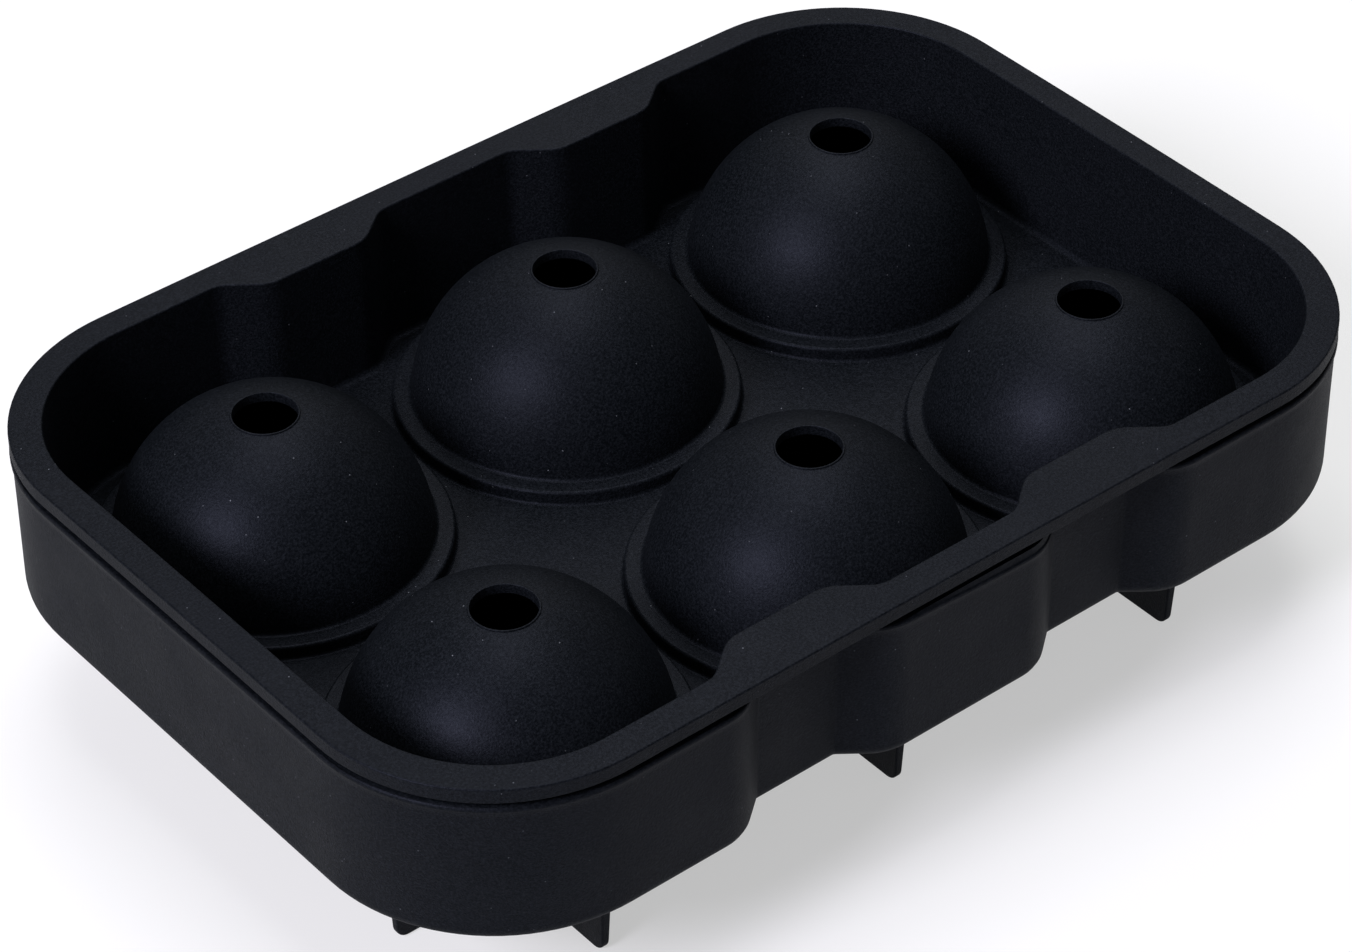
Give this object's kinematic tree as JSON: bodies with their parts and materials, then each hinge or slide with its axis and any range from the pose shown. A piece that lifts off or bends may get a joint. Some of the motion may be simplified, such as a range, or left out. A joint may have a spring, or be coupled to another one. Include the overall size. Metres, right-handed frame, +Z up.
{
  "type": "ice ball mould",
  "caption": "Two nested silicone trays with cups and domes that close into balls, a fill hole on each dome, a flat rim and crossed ribs as feet.",
  "frame": {"origin": "on the surface that the foot ribs stand on, under the centre of the tray", "axes": "+X along the row of balls, the long side of the tray; +Y across it; +Z up, the way the lid lifts off"},
  "size_m": [0.1806, 0.1254, 0.05],
  "materials": {
    "base_silicone": "satin black silicone, as moulded",
    "lid_silicone": "matt black silicone, as moulded"
  },
  "bodies": {
    "base": {"base_tray": "base_silicone"},
    "lid": {"lid_tray": "lid_silicone"}
  },
  "joints": [
    {"name": "lid_lift", "type": "slide", "parent": "base", "child": "lid", "axis": [0, 0, 1], "range_m": [0, 0.045]}
  ]
}
